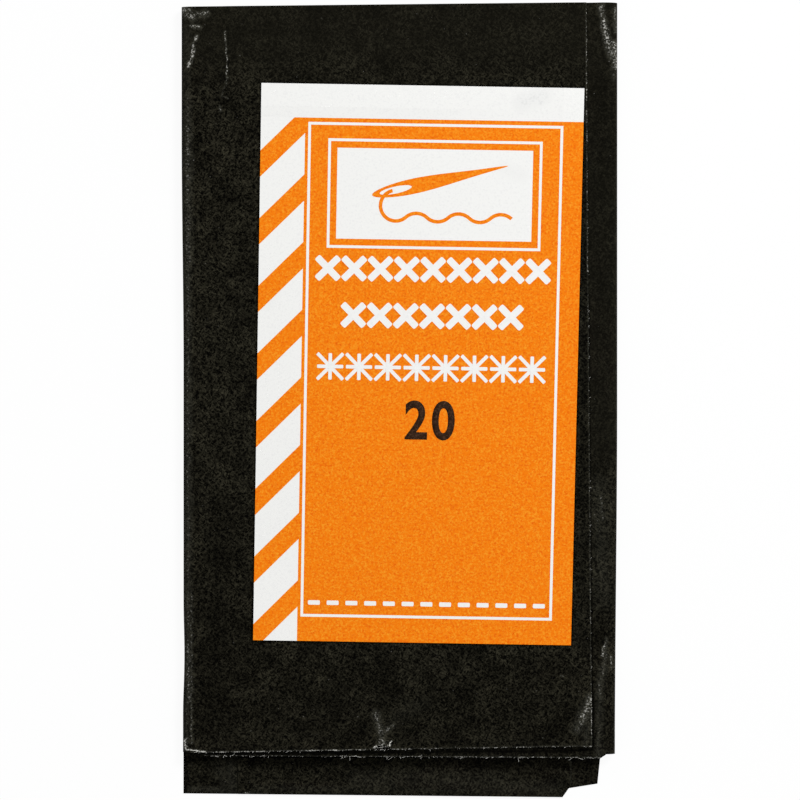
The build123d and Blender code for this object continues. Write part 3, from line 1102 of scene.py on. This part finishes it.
picture = bmesh.new()
outline = bmesh.ops.create_circle(picture, segments=40, radius=1)["verts"]
for vert in outline:
    taper = 0.26 + 0.74 * smooth(-vert.co.x, -1.0, 0.75)
    vert.co = (6.6 * vert.co.x, 0.86 * vert.co.y * taper, 0)
eye = bmesh.ops.create_circle(picture, segments=40, radius=1)["verts"]
for vert in eye:
    vert.co = (1.55 * vert.co.x - 4.3, 0.33 * vert.co.y, 0)
bmesh.ops.bridge_loops(picture, edges=picture.edges)
bmesh.ops.transform(picture, matrix=PICTURE_NEEDLE, verts=picture.verts)
wave = math.radians(84)
add_thread(
    picture,
    PICTURE_NEEDLE @ Vector((-4.6, 0, INK / MM)),
    math.pi + math.radians(13),
    [(1.45, math.radians(167 + 42)), *[(1.5, turn) for turn in (-wave, wave, -wave, wave, -wave)]],
    0.34,
)
bmesh.ops.transform(picture, matrix=PICTURE_PLACE, verts=picture.verts)
print_piece("printed_needle_and_thread", picture, orange_print)

# The needles: blunt yarn needles of drawn steel wire, with a pressed and punched eye, ground
# to a round point, then nickel plated. Tumbling has left fine marks along them.

STEEL = (0.64, 0.63, 0.60)
STEEL_SHADE = (0.47, 0.46, 0.43)
WIRE_GRAIN = (9000, 420, 9000)
PLATING_GRAIN = 900.0

needle_steel, steel_tree, steel_shader, add_node = new_material("nickel_plated_needle")
steel_place = add_node("ShaderNodeTexCoord").outputs["Object"]
along_wire = vector_node(add_node, "MULTIPLY", {0: steel_place, 1: WIRE_GRAIN})
wire_marks = fine_noise(add_node, along_wire, 1.0, 3.0, 0.6)
plating = fine_noise(add_node, steel_place, PLATING_GRAIN, 2.0)
steel_colour = mix_colour(add_node, ramp(add_node, plating, 0.30, 0.75), STEEL, STEEL_SHADE)
steel_tree.links.new(steel_colour, steel_shader.inputs["Base Color"])
steel_polish = ramp(add_node, wire_marks, 0.25, 0.75, 0.17, 0.33)
steel_tree.links.new(steel_polish, steel_shader.inputs["Roughness"])
steel_shader.inputs["Metallic"].default_value = 1.0
steel_bump = add_node(
    "ShaderNodeBump", {"Strength": 0.20, "Distance": 0.01 * MM, "Height": wire_marks}
)
steel_tree.links.new(steel_bump.outputs[0], steel_shader.inputs["Normal"])
for name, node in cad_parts.items():
    if name.startswith("needle"):
        node.material_slots[0].material = needle_steel

# The floor and the room: a plain white sweep under the packet, one large soft lamp at the
# upper right, and a white room that fills the shadows. The floor keeps a faint shadow.

FLOOR_SIZE = 3.0
FLOOR_DROP = 0.02 * MM
FLOOR_WHITE = (0.96, 0.96, 0.96, 1)
FLOOR_GLOW = 0.93
ROOM_LIGHT = 0.50

floor_mesh = bmesh.new()
bmesh.ops.create_grid(floor_mesh, x_segments=2, y_segments=2, size=FLOOR_SIZE / 2)
bmesh.ops.translate(floor_mesh, verts=floor_mesh.verts, vec=(0, 0, -FLOOR_DROP))
floor_data = bpy.data.meshes.new("floor")
floor_mesh.to_mesh(floor_data)
floor_mesh.free()
floor = bpy.data.objects.new("floor", floor_data)
bpy.context.scene.collection.objects.link(floor)
floor_material, floor_tree, floor_shader, add_node = new_material("white_sweep")
floor_shader.inputs["Base Color"].default_value = FLOOR_WHITE
floor_shader.inputs["Roughness"].default_value = 0.9
floor_shader.inputs["Specular IOR Level"].default_value = 0.0
rays = add_node("ShaderNodeLightPath").outputs
seen = math_node(add_node, "MAXIMUM", rays["Is Camera Ray"], rays["Is Glossy Ray"])
seen = math_node(add_node, "MAXIMUM", seen, rays["Is Transmission Ray"])
glow = add_node("ShaderNodeEmission", {"Color": (1, 1, 1, 1), "Strength": 1.0}).outputs[0]
blend_floor = add_node(
    "ShaderNodeMixShader",
    {0: math_node(add_node, "MULTIPLY", seen, FLOOR_GLOW), 1: floor_shader.outputs[0], 2: glow},
)
floor_tree.links.new(
    blend_floor.outputs[0], floor_tree.nodes["Material Output"].inputs["Surface"]
)
floor_data.materials.append(floor_material)

world = bpy.data.worlds.new("studio")
world.use_nodes = True
world_tree = world.node_tree
room = world_tree.nodes["Background"]
room.inputs["Color"].default_value = (1, 1, 1, 1)
room.inputs["Strength"].default_value = ROOM_LIGHT
backdrop = world_tree.nodes.new("ShaderNodeBackground")
backdrop.inputs["Color"].default_value = (1, 1, 1, 1)
backdrop.inputs["Strength"].default_value = 1.0
world_rays = world_tree.nodes.new("ShaderNodeLightPath")
world_mix = world_tree.nodes.new("ShaderNodeMixShader")
world_tree.links.new(world_rays.outputs["Is Camera Ray"], world_mix.inputs[0])
world_tree.links.new(room.outputs[0], world_mix.inputs[1])
world_tree.links.new(backdrop.outputs[0], world_mix.inputs[2])
world_tree.links.new(world_mix.outputs[0], world_tree.nodes["World Output"].inputs["Surface"])
bpy.context.scene.world = world

LAMP_SIZE = 0.16
LAMP_PLACE = Vector((0.26, 0.30, 0.42))
LAMP_POWER = 2.2

lamp_data = bpy.data.lights.new("soft_lamp", "AREA")
lamp_data.shape = "SQUARE"
lamp_data.size = LAMP_SIZE
lamp_data.energy = LAMP_POWER
lamp = bpy.data.objects.new("soft_lamp", lamp_data)
lamp.location = LAMP_PLACE
lamp.rotation_euler = LAMP_PLACE.to_track_quat("Z", "Y").to_euler()
bpy.context.scene.collection.objects.link(lamp)

# The camera: it looks straight down on the packet from far off, through a long lens.
# The packet's middle is a hair off the middle of its view.

VIEW_WIDTH = 76.0 * MM
CAMERA_HEIGHT = 420.0 * MM
CAMERA_SHIFT = (0.067 * MM, 0.048 * MM)
SENSOR = 36.0

camera_data = bpy.data.cameras.new("camera")
camera_data.sensor_width = SENSOR
camera_data.lens = SENSOR * (CAMERA_HEIGHT - back_high.z) / VIEW_WIDTH
camera = bpy.data.objects.new("camera", camera_data)
camera.location = (*CAMERA_SHIFT, CAMERA_HEIGHT)
bpy.context.scene.collection.objects.link(camera)
bpy.context.scene.camera = camera
bpy.context.scene.view_settings.view_transform = "Standard"
